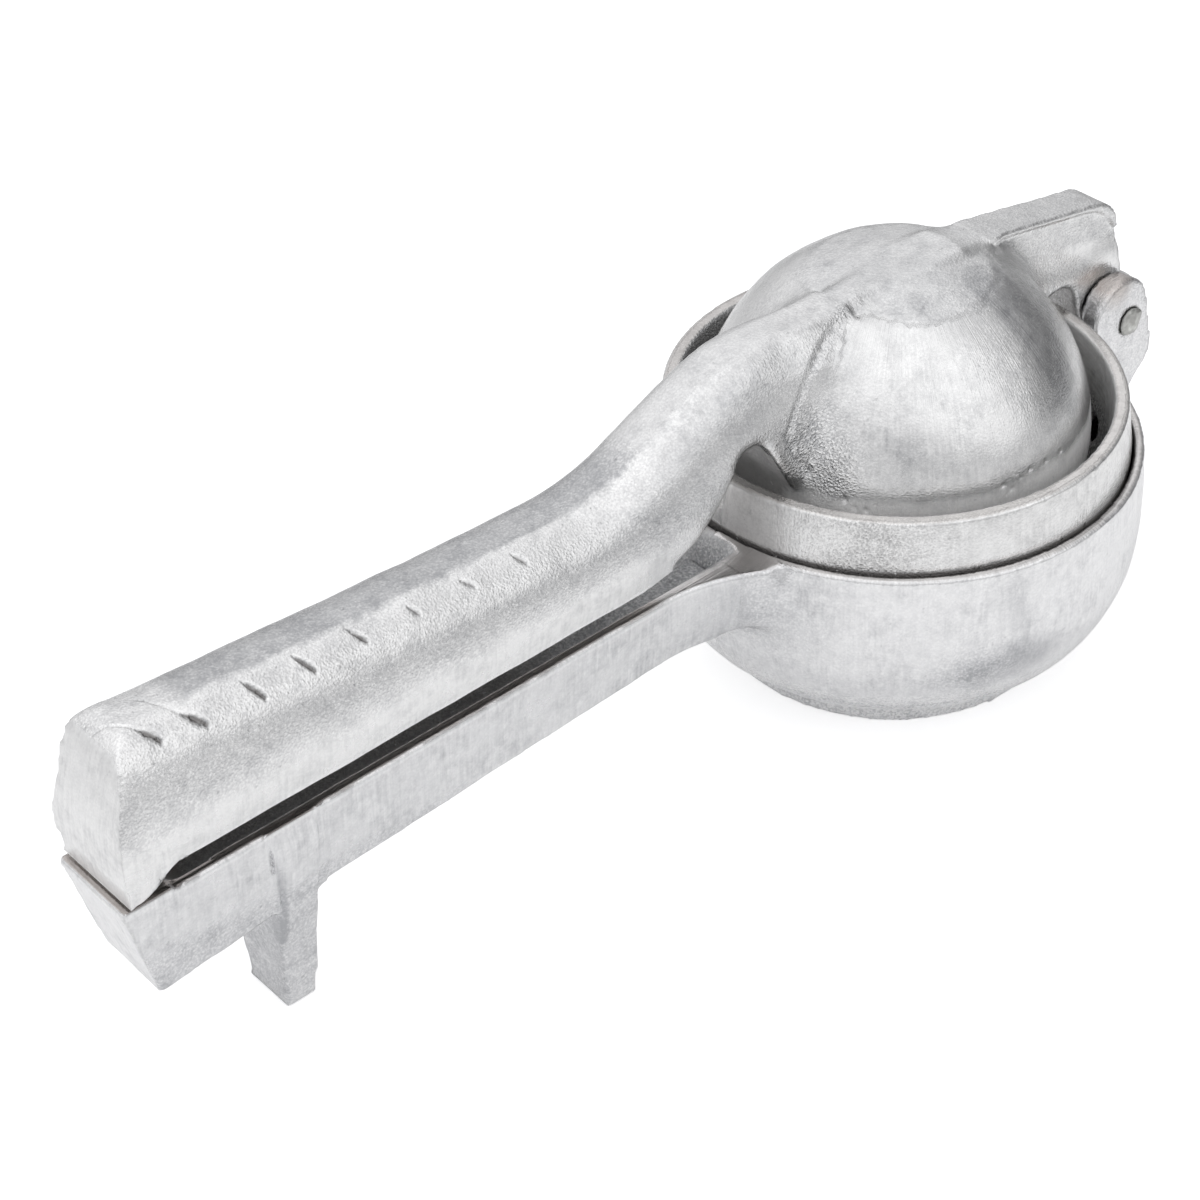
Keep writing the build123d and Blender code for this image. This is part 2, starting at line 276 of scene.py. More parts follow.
    def finish(self, body, slot, material):
        """The skin is kept inside the solid's box, gets its material and rides its body."""
        low, high = (np.array(corner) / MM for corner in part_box(self.node))
        self.points = np.clip(self.points, low, high)
        self.write()
        self.mesh.materials.append(material)
        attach(self.piece, body)
        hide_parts(self.node)
        print(self.piece.name, "triangles", len(self.mesh.loops) - 2 * len(self.mesh.polygons))


# ---------------------------------------------------------------- press arm
def crown(x):
    """Height of the press handle's crown: a slow fall towards the neck, then a smooth rise to the ball's
    flat."""
    out = np.clip((BEND_X - x) / (BEND_X - HANDLE_END_X), 0, 1)
    rise = np.clip((x - BEND_X) / NECK_RUN, 0, 1)
    return CROWN_Z + 6 * out ** 1.25 + 13 * rise * rise * (3 - 2 * rise)


def handle_half(x, z):
    """Half of the solid handle's width at a height: wider up to its belly, then in to its shoulder and its
    crown."""
    top = crown(x)
    up = np.clip(z - HANDLE_Z, 0, BELLY_Z - HANDLE_Z) / (BELLY_Z - HANDLE_Z)
    low = BOTTOM_HALF + (BELLY_HALF - BOTTOM_HALF) * up
    middle = BELLY_HALF - (BELLY_HALF - SHOULDER_HALF) * (z - BELLY_Z) / (top - SHOULDER - BELLY_Z)
    past = np.clip(z - top + SHOULDER, 0, SHOULDER) / SHOULDER
    high = SHOULDER_HALF - (SHOULDER_HALF - CROWN_HALF) * past
    return np.where(z < BELLY_Z, low, np.where(z < top - SHOULDER, middle, high))


def rounded_half(x, z, flat, power):
    """The same width as cast: a quarter superellipse from the crown's flat down to the belly, then a parabola
    in to the bottom edge, which lies lower at the end pad."""
    belly = BELLY_Z + 0.5
    foot = HANDLE_Z - 4.6 * eased(-154, -160, x)
    down = np.clip((crown(x) - z) / (crown(x) - belly), 0, 1)
    above = flat + (CAST_HALF - flat) * (1 - (1 - down) ** power) ** (1 / power)
    below = CAST_HALF - 0.9 * np.clip((belly - z) / (belly - foot), 0, 1) ** 2
    return np.where(z > belly, above, below)


# lines over the crown, as (x, y): grooves at the end, then chisel cuts as (start, tip, depth)
CROWN_GROOVES = (((-160.6, 1.7), (-158.3, 0.6), (-156.9, -1.0), (-154.2, -4.0), (-153.3, -5.3)),
                 ((-152.4, 3.3), (-151.1, 1.6), (-150.1, -0.7), (-148.6, -3.2), (-146.0, -5.8)))
CHISEL_CUTS = (((-138.0, -2.7), (-136.1, -5.9), 1.0), ((-128.9, -2.2), (-127.1, -5.7), 1.0),
               ((-118.8, -2.4), (-117.3, -5.2), 0.9), ((-108.5, -3.2), (-107.5, -5.1), 0.7),
               ((-98.4, -2.9), (-96.9, -5.0), 0.7), ((-88.3, -3.0), (-87.0, -5.3), 0.7))
# lines and spots on neck and ball, as (x, y, z)
NECK_CREASE = ((-17.0, -3.8, 73.7), (-21.1, -5.0, 72.2), (-25.1, -6.4, 70.8), (-28.8, -7.9, 68.4),
               (-31.2, -8.5, 65.2), (-33.2, -8.8, 62.6), (-34.6, -9.0, 59.9), (-33.4, -9.3, 55.5),
               (-31.6, -10.3, 52.0))
# a dark reflection painted on the ball runs along this line
REFLECTION_STREAK = ((8.5, -13.0, 73.0), (8.5, -18.5, 69.5), (10.5, -24.5, 64.0), (12.0, -28.5, 57.0))
BALL_FOLD = ((-10.8, -6.9, 73.4), (-12.8, -11.1, 71.4), (-14.2, -14.8, 68.9))
BALL_PITS = ((-29.0, -16.4, 48.2), (-28.2, -18.0, 47.1), (-27.2, -19.6, 46.9), (-8.2, -32.2, 48.8),
             (-6.6, -32.6, 47.7), (-7.4, -32.3, 47.0), (-4.6, -32.5, 49.0), (-2.5, -32.9, 49.6),
             (1.1, -33.0, 49.5), (5.3, -32.7, 49.3))
NECK_CORNER, NECK_FOOT = (-31, -8.6, 60), (-29, -13, 53)        # rough skin beside the crease


def arm_mesh():
    """The arm's solid as an even mesh, finer at its end, at its lower near edge and on the lug."""
    arm = Casting("press_arm", "press_arm_casting", 0.88)
    x, y, z = arm.points.T
    arm.bring_out((x < -162) | ((x < -50) & (y < -6) & (z < 46.5)), 3)
    x, y, z = arm.points.T
    arm.bring_out((x > 17) & (z > 58), 2)
    arm.refine((arm.spacing() > 0.5) & (arm.points[:, 0] < -155), 1)
    arm.soften(2)
    return arm


def round_handle(arm):
    """The handle gets its cast section: a flat crown on the far side of a low ridge, and a rounder near
    shoulder."""
    x, y, z = arm.points.T
    outside = (handle_half(x, z) - abs(y) < 1.3) | (z > crown(x) - 2) | (x < -161) | (x > -33)
    on_handle = eased(-24, -36, x) * outside
    # the bottom edge lies a little lower, and the pad under the end curves up into it
    lower = 0.5
    z = z - lower * eased(-40, -60, x) * eased(48.5, 45.5, z)
    pad = PAD_Z + 0.4 * eased(HANDLE_END_X, -162.9, x) + 3.6 * eased(-162.8, -155.6, x)
    z = z - np.clip(HANDLE_Z - lower - pad, 0, None) * (x > -159) * eased(47.5, 45.0, z)
    arm.points[:, 2] = np.where(x < -154, np.maximum(z, pad), z)
    # points near a side go onto the cast outline, and the others keep their share of its width
    x, y, z = arm.points.T
    cast = np.where(y < 0, rounded_half(x, z, 1.0, 2.1), rounded_half(x, z, 4.0, 2.5))
    solid = handle_half(x, z)
    on_side = on_handle * eased(0.9, 0.5, abs(solid - abs(y))) * eased(0.4, 1.2, crown(x) - z)
    inside = y * (1 + (cast / solid - 1) * on_handle)
    arm.points[:, 1] = inside * (1 - on_side) + np.sign(y) * cast * on_side


def round_end(arm):
    """The end rounds over at its top on a quarter ellipse, and its far side comes in towards the top."""
    over_x, over_z, reach = -156.1, 54.5, 8     # middle of the ellipse, and its half length
    x, y, z = arm.points.T
    narrowed = 1 - np.sqrt(1 - np.clip((-158.3 - x) / 5.2, 0, 1) ** 2)
    arm.points[:, 1] = y * (1 - narrowed * eased(47, 62, z) * np.where(y > 0, 0.3, 0.1))
    back = np.clip(over_x - x, 0, None)
    high = np.clip(z - over_z, 0, None)
    outside = np.maximum(np.hypot(back / reach, high / (crown(x) - over_z)), 1)
    on_end = (back > 0) & (high > 0)
    arm.points[:, 0] = np.where(on_end, over_x - back / outside, x)
    arm.points[:, 2] = np.where(on_end, over_z + high / outside, z)
    arm.wear(10, eased(-157, -159, x) * eased(54, 58, z) * eased(-4, 0, y))
    # the face runs down to the pad without a ledge
    ledge = (arm.normals[:, 0] < -0.35) & (z < 47) & (x < -163)
    arm.points[:, 0] = np.where(ledge, np.minimum(x, HANDLE_END_X - 0.4 * eased(41, 46, z)), x)
    arm.wear(3, eased(-163.2, -163.6, x) * (z > 41.5))
    arm.wear(16, eased(-162, -163.4, x) * eased(2, 5, y) * (z > 41.5))


def shape_ball_and_lug(arm):
    """The ball's top is a low cap with an edge, and the lug's flanks lie back under its own top."""
    x, y, z = arm.points.T
    reach = np.hypot(x, y)
    cap = CAP_Z - 1.9 * (reach / CAP_REACH) ** 2
    off_neck = 1 - (x < 0) * eased(4.5, 2.0, abs(y)) - (x > 0) * eased(6, 4.2, abs(y))
    arm.points[:, 2] -= np.clip(z - cap, 0, 1.2) * (reach < CAP_REACH + 0.7) * (z > 70) * off_neck
    radius = from_ball(arm.points)
    running = off_hinge(arm.points, *ARM_FITS)
    lug_top = np.interp(x, (0, 17, 44, 47, 50, 52.5), (74, 72.9, 67.9, 67.0, 64.8, 61.5))
    arm.points[:, 1] -= 0.7 * hump(x, 19.5, 3.5) * hump(z, 72.2, 1.6) * (y < -2.6)
    flank = eased(17.5, 19.5, x) * (abs(y) > 2.6) * eased(0.7, 1.5, lug_top - z)
    flank *= eased(52, 56, z + 0.3 * (x - 45)) * running * eased(BALL_RADIUS + 0.3, BALL_RADIUS + 3, radius)
    arm.points[:, 1] -= 0.8 * np.sign(y) * flank
    arm.wear(3, running * (x > 16) * hump(z, lug_top - 1.1, 2.2) * (abs(y) < 6))


def rough_neck(points):
    """1 on the rough skin in the corner between neck and ball."""
    return spot(points, NECK_CORNER, 7) + 0.8 * spot(points, NECK_FOOT, 8)


def arm_skin(arm):
    """Lumps of the sand mould, a sunk crease and fold beside the neck, and pits low on the ball."""
    x, _, z = arm.points.T
    radius = from_ball(arm.points)
    quiet = off_hinge(arm.points, *ARM_FITS) * np.where((arm.normals[:, 2] < -0.5) & (z < 43), 0, 1)
    ball = eased(36.5, 35, radius) * (x > -34)
    small = (0.02 + 0.16 * rough_neck(arm.points)) * lumps(arm.points, 1.7, 3)
    arm.raise_by(quiet * (0.12 * lumps(arm.points, 11, 1) + 0.06 * lumps(arm.points, 4, 2) + small))
    arm.raise_by(quiet * 0.3 * ball * lumps(arm.points, 14, 4) * eased(46, 56, z) * eased(72.4, 71, z))
    arm.raise_by(0.35 * spot(arm.points, (-71, -1, 61.6), 4.5) * (0.5 + lumps(arm.points, 1.6, 5)))
    near_crease, _ = near_line(arm.points, NECK_CREASE)
    near_pit = np.any([np.linalg.norm(arm.points - place, axis=1) < 1.5 for place in BALL_PITS], axis=0)
    arm.refine((near_crease < 2.2) | near_pit, 2)
    near_crease, along = near_line(arm.points, NECK_CREASE)
    near_fold, _ = near_line(arm.points, BALL_FOLD)
    crease = np.clip(1 - near_crease / 1.2, 0, 1) * eased(0, 0.25, along)
    crease = crease * (1 + 0.25 * lumps(arm.points, 0.9, 8))
    arm.raise_by(-0.5 * crease - 0.5 * hump(near_fold, 0, 4.0))
    for place in BALL_PITS:
        arm.raise_by(-0.25 * spot(arm.points, place, 0.8) * (1 + 0.8 * lumps(arm.points, 0.5, 9)))


def cut_crown(arm):
    """Grooves and chisel cuts are sunk over the crown on a finer mesh. Gives the depth of the cut at each
    point."""
    on_crown = [np.array(line) for line in CROWN_GROOVES] + [np.array(line[:2]) for line in CHISEL_CUTS]
    x, _, z = arm.points.T
    close = np.min([near_line(arm.points[:, :2], line)[0] for line in on_crown], axis=0) < 1.5
    arm.refine(close & (z > crown(x) - 8), 4)
    x, _, z = arm.points.T
    high = z > crown(x) - 8
    arm.soften(2, high * (x < -80) * 1.0)
    cut = np.zeros(len(x))
    for line in CROWN_GROOVES:
        gap, along = near_line(arm.points[:, :2], line)
        half = 0.4 + 0.5 * hump(along, 0.85, 0.22)
        depth = 0.22 * eased(0, 0.1, along) + 0.5 * eased(0.55, 0.85, along)
        cut = np.maximum(cut, high * depth * np.clip(1 - gap / half, 0, 1))
    for start, tip, deep in CHISEL_CUTS:
        gap, along = near_line(arm.points[:, :2], (start, tip))
        half = 0.12 + 0.62 * hump(along, 0.62, 0.7)
        wedge = np.clip(1 - gap / half, 0, 1) * eased(-0.05, 0.3, along)
        cut = np.maximum(cut, high * 0.75 * deep * wedge)
    arm.raise_by(-cut * (0.8 + 0.4 * lumps(arm.points, 0.4, 6)))
    return cut


def mark_arm(arm, cut):
    """Where the arm is ground, gritty, grey, warm or matt, and where shade, highlights and reflections are
    painted into its colour, from each point's place and the way it faces."""
    x, y, z = arm.points.T
    nx, ny, nz = arm.normals.T
    top = crown(x)
    ragged = lumps(arm.points, 5, 7)
    # places on the arm, each from 0 to 1
    handle = eased(-34, -42, x)
    ball = eased(36.5, 35, from_ball(arm.points)) * (1 - handle)
    on_cap = eased(17.5, 15.0, np.hypot(x, y) + 1.5 * ragged) * (z > 70)
    band = ball * eased(49.6, 47.0, z + 0.6 * ragged)
    # the hollow under the handle is matt and gets painted shade
    hollow = (handle_half(x, z) - abs(y) > 1.5) & (z < top - 2.6) & (x > -160) & (x < -33)
    hollow = hollow | (nz < -0.5) & (x > -159.5) & (x < -33) & (z < 46)
    end_face = eased(-0.55, -0.8, nx) * (x < -158)
    lower_flank = handle * eased(7.5, 5.0, z - HANDLE_Z + 1.3 * ragged) * (1 - end_face) * (x < -42)
    near_flank = handle * (x < -45) * (1 - end_face) * (y < 0)
    near_shoulder = handle * (y < -1) * (nz > 0.5) * (x < -60)
    crown_flat = eased(-1.5, -0.9, y) * eased(-1.9, -1.2, z - top)
    crown_flat = crown_flat * eased(-149, -145, x) * eased(-58, -66, x)
    neck_top = (x > -75) * (x < -25) * eased(0.3, 0.6, nz)
    neck_side = eased(-74, -62, x) * eased(-34, -40, x) * (y < -3) * eased(0.85, 0.6, nz)
    neck_root = (1 - ball) * (x > -60) * (x < -18) * eased(55, 60, z)
    lug_patch = eased(38, 41, x) * eased(60.8, 59.4, z + 0.25 * (x - 45)) * (abs(ny) > 0.8)
    lug_patch = lug_patch * eased(52.5, 55.0, z + 0.6 * (x - 50)) * (x > 0)
    lug_low = (x > 18) * eased(66, 62, z) * (1 - lug_patch) * (abs(ny) > 0.7)
    reflection_streak = ball * eased(5.4, 3.8, near_line(arm.points, REFLECTION_STREAK)[0] + ragged)
    low_patch = spot(arm.points, (-21, -22.5, 56), 10, (1, 1, 1.5))
    unworn = 1.4 * spot(arm.points, NECK_CORNER, 8) + 1.2 * spot(arm.points, NECK_FOOT, 10)
    unworn = np.clip(unworn + 0.8 * spot(arm.points, (12, -14, 66), 8), 0, 1)

    ground = 0.9 * end_face + 0.85 * lower_flank + lug_patch + 0.45 * neck_root
    ground = ground + ball * (1 - unworn) * (0.7 - 0.35 * on_cap + 0.25 * ragged)
    grit = rough_neck(arm.points) + 0.8 * hump(near_line(arm.points, NECK_CREASE)[0], 0, 2)
    # painted light on the handle's near side: the up-facing shoulder is lighter as a painted highlight, and
    # along the flank a darker band at mid height and a lighter strip low down are painted reflections
    grey = 0.5 * crown_flat - 0.14 * near_shoulder - 0.05 * end_face
    grey = grey + near_flank * (0.16 * hump(z, 56, 5) - 0.08 * eased(52.5, 50.5, z))
    grey = grey + 0.08 * neck_top + 0.22 * neck_side + 0.14 * spot(arm.points, (-21, -9, 68), 7)
    # painted dark reflection on the ball along its line
    grey = grey + 0.42 * reflection_streak * (0.8 + 0.4 * lumps(arm.points * (1, 1, 0.3), 1.6, 18))
    grey = grey + on_cap * (0.16 + 0.14 * lumps(arm.points, 3.5, 24))
    grey = grey + 0.16 * low_patch * (0.8 + lumps(arm.points, 4, 19))
    # the band low on the ball is lightened against the shade between ball and cup: painted light
    grey = grey + 0.07 * ball * lumps(arm.points, 6, 25) - 0.1 * band
    # the last term darkens the chisel cuts with their depth: painted shade in the cuts
    grey = grey - 0.3 * lug_patch + 0.12 * lug_low + 1.1 * np.clip(cut - 0.1, 0, 1)
    # the warm spot low on the lug's flank by the ear is painted shade and reflection of the ear, while the
    # warm on the ball's low band is its tone
    warm = 0.15 * band + 0.6 * hump(x, 46, 6) * hump(z, 53.5, 2.5)
    warm = warm + 0.6 * spot(arm.points, (-163, -2, 66), 2.5)
    # strokes run down the flanks, round the ball and slantwise over its cap
    across = np.where(ball > 0.5, np.arctan2(y, x) * 30, np.where(end_face > 0.5, y, x))
    arm.mark(across=np.where(on_cap > 0.5, 0.8 * x + 0.6 * y, across),
             along=np.where(on_cap > 0.5, 0.6 * x - 0.8 * y, z),
             ground=np.clip(ground, 0, 1),
             grit=np.clip(grit, 0, 1),
             grey=np.clip(grey, -0.1, 1),
             warm=np.clip(warm, 0, 1),
             matt=np.clip(hollow + band + 0.5 * end_face + 0.25 * lower_flank, 0, 1),
             soot=np.maximum(0.5 * hollow, 0.9 * eased(0.3, 0.55, cut)))


def press_arm(material):
    """Handle, neck, ball and lug in one casting."""
    arm = arm_mesh()
    round_handle(arm)
    # fillets where neck, ball and lug meet
    out_of_ball = from_ball(arm.points) > 20
    arm.fill_corners(60, off_hinge(arm.points, *ARM_FITS) * out_of_ball * eased(-60, -54, arm.points[:, 0]))
    round_end(arm)
    arm.round_ridges(5, off_hinge(arm.points, *ARM_FITS))
    # the crown's shoulders wear round, apart from the low ridge along the crown
    x, y, z = arm.points.T
    outer = ((handle_half(x, z) - abs(y) < 2) | (z > crown(x) - 2)) * eased(46, 47.5, z)
    arm.wear(8, eased(-36, -46, x) * eased(-160.5, -158.5, x) * eased(0.8, 2.0, abs(y + 1)) * outer)
    shape_ball_and_lug(arm)
    arm_skin(arm)
    mark_arm(arm, cut_crown(arm))
    arm.finish("arm", "upper_casting", material)


# ---------------------------------------------------------------- lower casting
LEG_SEAM = ((-140.0, 38.0), (-139.4, 34.3), (-139.0, 30.0), (-138.8, 25.4), (-139.0, 16.0))    # as (x, z)
RIM_DENTS = ((-36.4, -24.2, 34.2), (-33.0, -28.3, 36.8))
ROUGH_PATCH = (-19, -38, 19.5)          # unground spot low on the bowl
EAR_TOPS = ((49, -6.5, 51.3), (49, 6.5, 51.3))


def flare_channel(base):
    """The channel's sides flare into the bowl on a parabola, and the bowl's points near them make room."""
    x, y, z = base.points.T
    radius = np.hypot(x, y)
    flare = 5.5 * np.clip((x + 61) / 17, 0, 1) ** 2 * eased(6.0, 7.4, abs(y)) * eased(22, 9, abs(y))
    flare = flare * (x < -36) * eased(41.8, 43.4, radius) * eased(4, 14, z)
    wide = abs(y) + flare
    base.points[:, 1] = np.sign(y) * wide
    on_bowl = (radius < BOWL_RADIUS + 0.5) & (flare > 0)
    base.points[:, 0] = np.where(on_bowl, -np.sqrt(np.maximum(radius ** 2 - wide ** 2, 1)), x)


def shape_leg(base):
    """The leg's upper part lies flush with the channel's sides."""
    x, y, z = base.points.T
    flush = (x < -128) * (x > -145) * (abs(y) > 7.5)
    half = np.minimum(abs(y), 8.4 + 0.5 * eased(39, 34, z))
    base.points[:, 1] = np.where(flush, np.sign(y) * half, y)


def base_skin(base):
    """Lumps of the sand mould, the leg's sunk seam with its ridge, and two dents under the bowl's rim."""
    x, y, z = base.points.T
    radius = np.hypot(x, y)
    leg = hump(x, LEG_X, 14) * eased(-5, -8, y)
    in_rebate = (radius < 43) & (z > 36)
    quiet = off_hinge(base.points, *BASE_FITS) * eased(0, 1.5, z) * eased(40.2, 39.2, z) * (1 - 0.8 * leg)
    quiet = quiet * np.where(in_rebate, 0, 1)
    base.raise_by(quiet * (0.10 * lumps(base.points, 10, 11) + 0.05 * lumps(base.points, 4, 12)
                           + 0.03 * lumps(base.points, 1.6, 13)))
    near_side = base.points[:, 1] < -5
    seam, _ = near_line(base.points[:, ::2], LEG_SEAM)
    proud = eased(-140.4, -139.6, x) * eased(-130.0, -130.8, x) * (abs(y) > 5.5)
    proud = proud * eased(38, 34, z) * eased(14, 20, z)
    base.points[:, 1] += 0.4 * np.sign(y) * proud
    base.refine((seam < 1.5) & near_side, 2)
    x, y, z = base.points.T
    seam, down = near_line(base.points[:, ::2], LEG_SEAM)
    on_side = (y < -5) * (abs(base.normals[:, 1]) > 0.8)
    ridge = 0.25 * hump(x, -140.7, 1.4) * hump(z, 33, 6)
    sunk = 0.45 * hump(seam, 0, 1.0) * eased(0, 0.4, down) * eased(23, 26, z)
    base.raise_by(on_side * (ridge - sunk))
    for place in RIM_DENTS:
        base.raise_by(-0.35 * spot(base.points, place, 1.0))


def mark_base(base):
    """Where the lower casting is ground, gritty, grey, warm or matt, and where shade and light are painted
    into its colour.
    """
    x, y, z = base.points.T
    nx, ny, nz = base.normals.T
    radius = np.hypot(x, y)
    around = np.degrees(np.arctan2(y, x))
    ragged = lumps(base.points, 5, 14)
    # places on the casting, each from 0 to 1
    handle = eased(-45, -50, x)
    end_face = eased(-0.6, -0.8, nx) * (x < -158)
    trough = (abs(y) < 7.0) & (z > 24) & (z < 39.7) & (x > -159.5) & (x < -42) & (nz > -0.5)
    ground_from = z + 1.2 * ragged + 0.08 * (x + 160)
    side = handle * (1 - end_face) * eased(27.5, 31.5, ground_from) * (abs(ny) > 0.6)
    body = handle * (1 - end_face) * (z < 39)
    leg_back = (nx < -0.6) * (x > -146) * (x < -120)
    bowl = (radius > 41.5) * (x > -44) * (1 - handle)
    bowl_inside = (radius < 39.5) * (x > -38)
    left_zone = spot(base.points, (-44, -10, 31), 17)
    foot = (radius > 28) * (x > -40) * eased(9, 7, z)
    rim = eased(0.8, 0.95, nz) * (z > 39.2)
    handle_rim = rim * handle * eased(-60, -66, x)
    # the seat round the cup gets painted shade, for the gap between cup and bowl
    rebate = (radius > 39.7) * (radius < 41.7) * (z > 36.2) * (z < 39.75)
    rough = spot(base.points, ROUGH_PATCH, 14, (1, 1, 1.6))
    # a dark smear low on the bowl's near side, partly a real smear and partly painted shadow where the bowl
    # mirrors its own shadow on the floor
    smear_and_shadow = spot(base.points, (-14, -41, 20), 12, (0.7, 0.7, 1.8))
    strokes = spot(base.points, (-13, -41.5, 29), 7, (1, 1, 0.6))
    seam = (y < -5) * hump(near_line(base.points[:, ::2], LEG_SEAM)[0], 0, 1.1) * eased(36, 28, z)
    near_ear, far_ear = (spot(base.points, place, 6) for place in EAR_TOPS)

    ground = 0.9 * side + 0.8 * end_face + rim + 0.75 * bowl * (1 - left_zone) - 0.4 * rough
    ears = (x > 44) * (abs(y) > 5)
    bowl_floor = (radius < 40) * (z < 36) * (x > -38)
    grit = 0.5 * trough + 0.6 * ears + 0.5 * bowl_floor + 0.4 * rough
    grey = 0.35 * left_zone + 0.15 * hump(z, 16, 5) * bowl * eased(-50, -70, around)
    grey = grey + 0.15 * rim + 0.6 * handle_rim + body * (0.13 + 0.16 * (1 - side))
    grey = grey + 0.3 * strokes * (0.6 + lumps(base.points * (1, 1, 0.15), 1.2, 26))
    grey = grey + 0.5 * smear_and_shadow * (1 + 0.6 * ragged)
    # painted light and shade: the foot is lightened where it mirrors the floor's shadow, and the near ear's
    # top under the lug, the leg's back face and the leg's seam are darkened as painted shade
    grey = grey - 0.12 * (z < 9) + 0.35 * near_ear - 0.05 * end_face + 0.2 * leg_back + 0.5 * seam
    warm = 0.9 * handle_rim + 1.3 * near_ear + 1.3 * far_ear + 0.5 * rim
    matt = trough + 0.8 * bowl_inside + 0.4 * handle * end_face + 0.3 * side + 0.8 * foot
    # painted shade in the channel under the press handle, fading out towards the bowl where light reaches the
    # channel
    trough_soot = trough * eased(-66, -92, x + 6 * ragged) * (0.6 + 0.4 * eased(-148, -151, x))
    # strokes run down the channel's sides and the bowl, and across the end face and the rim
    across_handle = np.where((end_face > 0.5) | (rim > 0.3), y, x)
    base.mark(across=np.where(handle > 0.5, across_handle, np.radians(around) * BOWL_RADIUS),
              along=z,
              ground=np.clip(ground, 0, 1),
              grit=np.clip(grit, 0, 1),
              grey=np.clip(grey, -0.12, 1),
              warm=np.clip(warm, 0, 1),
              matt=np.clip(matt, 0, 1),
              soot=np.maximum(trough_soot, rebate))


def lower_casting(material):
    """Juice bowl, channel handle, leg and ears in one casting."""
    base = Casting("bowl_base", "lower_casting", 0.93)
    x, y, z = base.points.T
    base.bring_out((x < -50) & (y < -5) | (x < -161) | (x < 44) & (y < 0) & (z > 38.5), 2)
    base.soften(2)
    flare_channel(base)
    shape_leg(base)
    x, y, z = base.points.T
    running = off_hinge(base.points, *BASE_FITS)
    outside = running * (np.hypot(x, y) > 42.5)
    # wide fillets where the handle and the ears grow out of the bowl, and narrow ones along the handle
    base.fill_corners(420, outside * eased(-68, -54, x))
    base.fill_corners(8, outside * (x < -68) * (abs(y) > 5) * (abs(x + 137) > 10))
    base.wear(12, (abs(y) < 7.2) * (x < -149) * (x > -158.5) * (z > 24) * 1.0)
    base.round_ridges(4, running * (z > 1))
    base_skin(base)
    mark_base(base)
    base.finish("base", "lower_casting", material)


# ---------------------------------------------------------------- strainer cup
def strainer(material):
    """Perforated cup with its band: ground outside, turned at the top of its inner wall, as cast below."""
    cup = Casting("strainer_cup", "strainer_cup_casting", 0.62)
    cup.bring_out(cup.points[:, 2] > 39.5, 1)
    cup.soften(3)
    cup.round_ridges(8, 1.0, 0.012)
    x, y, z = cup.points.T
    radius = np.hypot(x, y)
    cup.raise_by((radius < 36) * eased(37, 33, z) * (0.08 * lumps(cup.points, 2.2, 21)))
    on_band = (radius > 39.5) * eased(41.3, 42.5, z) * eased(49, 48, z)
    cup.raise_by(on_band * (0.05 * lumps(cup.points, 6, 22) + 0.03 * lumps(cup.points, 2, 23)))

    x, y, z = cup.points.T
    nz = cup.normals[:, 2]
    radius = np.hypot(x, y)
    around = np.degrees(np.arctan2(y, x))
    round_the_cup = np.radians(around) * CUP_RADIUS
    outer = (radius > 39.3) * (z > 40)
    inner = 1.0 - outer
    rim = eased(0.8, 0.95, nz) * (z > 48.8)
    wall = inner * (1 - rim)
    near_wall = eased(10, -5, x + y + 20)
    handle_side = eased(12, -12, x)
    speckled = hump(around, -143, 26) * outer
    # the band's part right under the handle gets a warm tint as painted shade
    dark = hump(around, -174, 14) * outer
    blotches = np.clip(lumps(cup.points * (1, 1, 1.6), 5, 27), -0.3, 1)
    ground = 0.7 * outer * (1 - speckled) + rim + inner * eased(39, 42, z) * (1 - handle_side)
    grit = 0.9 * inner * eased(41, 38, z) + 0.9 * inner * handle_side + 0.5 * speckled
    # painted shade inside the cup: the inner wall darkens away from its near part, more on the handle side,
    # and the rim darkens at its far side
    grey = wall * (1 - near_wall) * (0.25 + 0.45 * handle_side) + 0.3 * rim * eased(20, 36, y)
    # the band is lightened round the handle side, against the handle's shade: painted light
    grey = grey - 0.12 * hump(around, -160, 34) * outer - 0.06 * speckled
    grey = grey + 0.16 * outer * (0.4 + speckled) * blotches
    matt = np.maximum(0.6 - 0.3 * handle_side, near_wall) * wall + 0.7 * hump(around, -172, 24) * outer
    # the cup's outside below its band, down in the bowl's seat, gets painted shade
    cup.mark(across=np.where(outer, round_the_cup, z),
             along=np.where(outer, z, round_the_cup),
             ground=np.clip(ground, 0, 1),
             grit=np.clip(grit, 0, 1),
             grey=np.clip(grey, -0.2, 1),
             warm=0.5 * rim + 0.3 * dark,
             matt=matt,
             soot=(radius > 39) * (z < 40.1) * 1.0)
    cup.finish("cup", "cup_casting", material)


# ---------------------------------------------------------------- hinge pin
# rings along the pin as (y, size, power): the power turns a circle into a rounded square
PIN_RINGS = ((-9.2, 0.0, 4.5), (-9.15, 1.6, 4.5), (-8.95, 2.35, 4.5), (-8.6, 2.72, 4.5), (-8.5, 2.5, 2.0),
             (8.5, 2.5, 2.0), (8.6, 2.72, 4.5), (8.95, 2.35, 4.5), (9.15, 1.6, 4.5), (9.2, 0.0, 4.5))
PIN_REACH = 2.78                        # the rounded squares' corners are cut off at this radius


